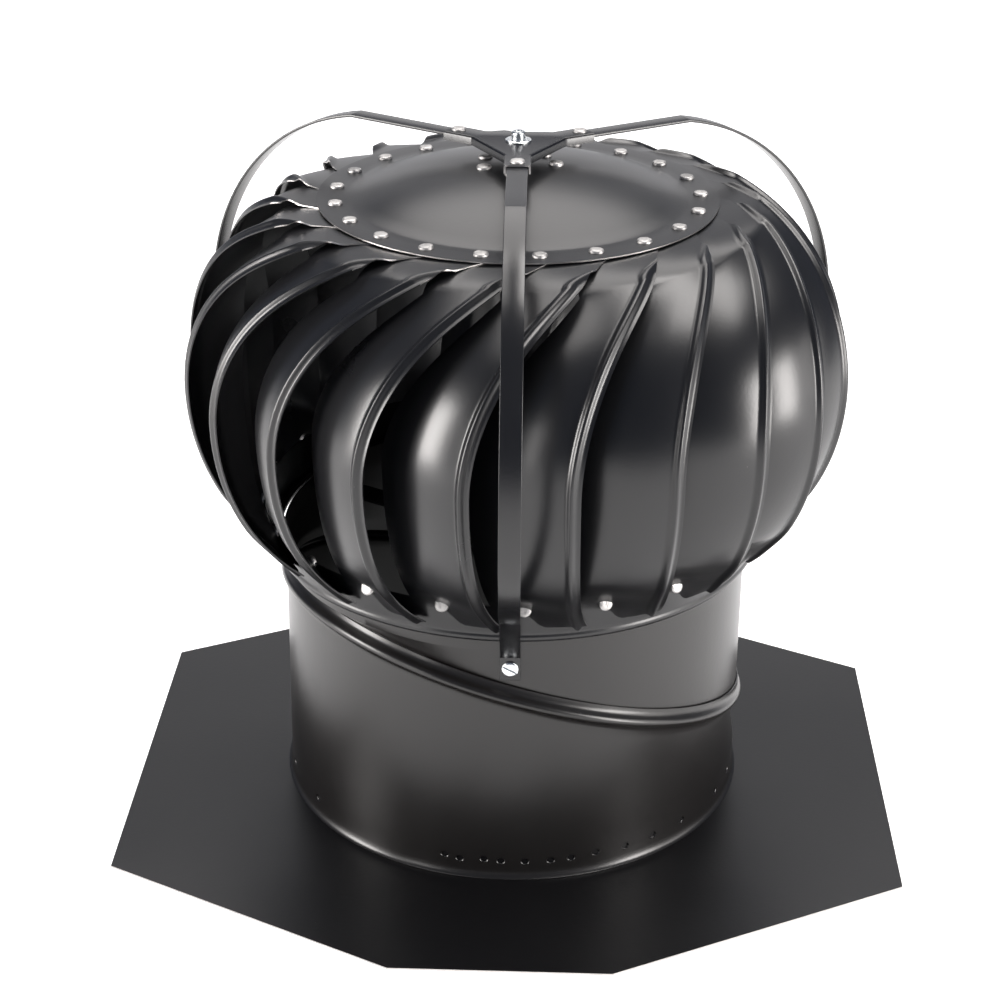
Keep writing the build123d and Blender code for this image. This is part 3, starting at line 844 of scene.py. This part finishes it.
def makeSpider():
    clearPick()
    outline = []
    for azimuth in braceTurns.values():
        along, sideways = outwards(azimuth), outwards(azimuth + 90)
        for reach, side in ((spider["webEnd"], -1), (spider["radius"], -1),
                            (spider["radius"], 1), (spider["webEnd"], 1)):
            outline.append(along * reach + sideways * side * spider["halfArm"])
    bpy.ops.mesh.primitive_circle_add(vertices=len(outline), radius=1, fill_type="NGON")
    piece = bpy.context.object
    piece.name = "topSpiderPlate"
    for point, spot in zip(piece.data.vertices, outline):
        point.co = Vector((spot.x, spot.y, spiderTop)) * mm
    settle(piece)
    armEnd = (spider["radius"] - 0.5) * mm

    # every edge is folded down but the arms' ends
    def isSide(first, second):
        middle = (first + second) / 2
        return max(outwards(azimuth).dot(middle) for azimuth in braceTurns.values()) < armEnd

    pickEdges(piece, isSide)
    fold = -(spider["lip"] + spider["sheet"]) * mm
    bpy.ops.mesh.extrude_region_move(TRANSFORM_OT_translate={"value": (0, 0, fold)})
    bpy.ops.object.mode_set(mode="OBJECT")
    cleanUp(piece)
    addBevel(piece, spider["fold"], 4, 25)
    if max(piece.data.polygons, key=lambda face: face.area).normal.z < 0:
        flipFaces(piece)
    paint(piece, strapCoat, cutSteel)
    addWall(piece, spider["sheet"], -1, 1)
    smooth(piece, 35)
    return handOver(piece, "upper", "black_coat", "top_spider")


makeSpider()
topRivet = makeRivet("topRivet", spider["rivetRadius"], spider["rivetHeight"])
for place, azimuth in braceTurns.items():
    spot = atPlace(azimuth, spider["rivetPlace"], spiderTop)
    head = setCopy(topRivet, f"spiderRivet{place}", spot)
    handOver(head, "upper", "rivet_aluminium")
    if place == "Front":
        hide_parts("spider_rivets")
bpy.data.objects.remove(topRivet)

washerRings = [(radius, spiderTop + height) for radius, height in washer["rings"]]
washerPiece = turned("shaftWasher", washerRings, washer["steps"])
paint(washerPiece, zincMetal)
smooth(washerPiece, 40)
handOver(washerPiece, "upper", "zinc_steel", "top_washer")
shaftPiece = turned("rotorShaftRod", shaft["rings"], shaft["steps"])
paint(shaftPiece, zincMetal)
smooth(shaftPiece, 40)
handOver(shaftPiece, "rotor", "zinc_steel", "rotor_shaft")

# Slotted screws at the strap feet
screw = {"height": 156.8, "out": 155.6, "radius": 5.2, "thick": 2.2, "slot": 1.4, "depth": 1.1,
         "steps": 40, "slotTurns": {"Front": 62, "Right": 20, "Left": -35},
         "head": ((0.98, 0), (1, 0.3), (1, 1.1), (0.96, 1.6), (0.84, 2.0), (0.6, 2.15))}


def makeScrew():
    rings = [(screw["radius"] * out, height) for out, height in screw["head"]]
    piece = turned("screwPattern", rings + [(0.01, screw["thick"])], screw["steps"])
    pickOnly(piece)
    bpy.ops.object.mode_set(mode="EDIT")
    bpy.ops.mesh.select_all(action="DESELECT")
    bpy.ops.mesh.select_mode(type="EDGE")
    bpy.ops.mesh.select_non_manifold()
    bpy.ops.mesh.edge_face_add()
    bpy.ops.object.mode_set(mode="OBJECT")
    cleanUp(piece)
    clearPick()
    bpy.ops.mesh.primitive_cube_add(size=1, location=(0, 0, screw["thick"] * mm))
    cutter = bpy.context.object
    cutter.scale = (3 * screw["radius"] * mm, screw["slot"] * mm, 2 * screw["depth"] * mm)
    settle(cutter)
    cutAway(piece, cutter)
    paint(piece, zincMetal)
    smooth(piece, 35)
    return piece


screwPattern = makeScrew()
for place, slotTurn in screw["slotTurns"].items():
    spot = atPlace(braceTurns[place], screw["out"], screw["height"])
    spot = spot @ Matrix.Rotation(math.radians(90), 4, "Y") @ aroundAxis(slotTurn)
    head = setCopy(screwPattern, f"footScrew{place}", spot)
    handOver(head, "upper", "zinc_steel")
    if place == "Front":
        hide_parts("brace_screws")
bpy.data.objects.remove(screwPattern)
print("fasteners ready")

# The solids that stay take their finish here
keptNodes = {"flashing_collar": (flashingCoat, "flashing_coat"),
             "throat_spider": (blackCoat, "black_coat"),
             "lower_bearing": (dullSteel, "bearing_steel"),
             "upper_bearing": (dullSteel, "bearing_steel"),
             "cap_hub": (dullSteel, "bearing_steel")}
for name, (finish, slot) in keptNodes.items():
    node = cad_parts[name]
    paint(node, finish)

# Floor, light and camera. A soft box is (direction round the object, distance out, height,
# width, tallness, watts), in degrees and metres
studio = {"floorSize": 60, "floorDrop": 0.4, "floorTone": (0.90, 0.90, 0.90), "floorRough": 0.9,
          "floorGlow": 0.45, "worldTone": (0.085, 0.105, 0.150),
          "lampTone": (1.0, 0.965, 0.94), "lampAim": (0, 0, 0.27)}
softBoxes = {"overheadBox": (90, 1.35, 2.75, 2.3, 2.2, 62),
             "topRightBox": (0, 0.9, 3.1, 1.4, 1.2, 62),
             "topLeftBox": (180, 0.9, 3.1, 1.4, 1.2, 24),
             "lowBackBox": (90, 2.9, 0.95, 3.6, 1.2, 12),
             "rightStrip": (330, 2.3, 0.66, 0.7, 1.3, 66),
             "leftStrip": (198, 2.3, 0.66, 0.75, 1.3, 74),
             "rightSide": (354, 2.6, 0.7, 0.8, 1.3, 12),
             "frontLeftStrip": (229, 2.6, 0.66, 0.4, 1.2, 9)}
cameraPlace = {"spot": (0.03237, -1.32273, 0.83551), "turn": (64.1851, -0.3924, 2.011),
               "lens": 79.6415, "sensor": 36, "near": 0.05}


def makeFloor():
    clearPick()
    bpy.ops.mesh.primitive_plane_add(size=studio["floorSize"],
                                     location=(0, 0, -studio["floorDrop"] * mm))
    floor = bpy.context.object
    floor.name = "studioFloor"
    settle(floor)
    finish = Finish("studioFloorTone")
    finish.set(Base_Color=(*studio["floorTone"], 1), Roughness=studio["floorRough"],
               Specular_IOR_Level=0.0)
    # the floor glows only where it is seen, mirrored or looked at through something
    path = finish.add("ShaderNodeLightPath", {})
    camera, glossy, through = (Signal(finish.tree, path.outputs[f"Is {kind} Ray"])
                               for kind in ("Camera", "Glossy", "Transmission"))
    glow = finish.add("ShaderNodeEmission", {}, Color=(1, 1, 1, 1), Strength=studio["floorGlow"])
    both = finish.add("ShaderNodeAddShader", {}, i0=finish.shader.outputs[0], i1=glow.outputs[0])
    mix = finish.add("ShaderNodeMixShader", {}, i0=(camera + glossy + through).clip(),
                     i1=finish.shader.outputs[0], i2=both.outputs[0])
    finish.tree.links.new(mix.outputs[0], finish.tree.nodes["Material Output"].inputs["Surface"])
    paint(floor, finish.material)


def softBox(name, around, out, height, width, tall, power):
    clearPick()
    place = outwards(around) * out + Vector((0, 0, height))
    bpy.ops.object.light_add(type="AREA", location=place)
    lamp = bpy.context.object
    lamp.name = name
    lamp.data.shape = "RECTANGLE"
    lamp.data.size = width
    lamp.data.size_y = tall
    lamp.data.energy = power
    lamp.data.color = studio["lampTone"]
    lamp.rotation_euler = (Vector(studio["lampAim"]) - place).to_track_quat("-Z", "Y").to_euler()


def makeCamera():
    clearPick()
    bpy.ops.object.camera_add(location=cameraPlace["spot"],
                              rotation=[math.radians(angle) for angle in cameraPlace["turn"]])
    camera = bpy.context.object
    camera.data.lens = cameraPlace["lens"]
    camera.data.sensor_width = cameraPlace["sensor"]
    camera.data.clip_start = cameraPlace["near"]
    bpy.context.scene.camera = camera


makeFloor()
world = bpy.data.worlds.new("studioWorld")
world.use_nodes = True
world.node_tree.nodes["Background"].inputs["Color"].default_value = (*studio["worldTone"], 1)
bpy.context.scene.world = world
for name, values in softBoxes.items():
    softBox(name, *values)
makeCamera()
bpy.context.scene.view_settings.view_transform = "Standard"
print("studio ready")
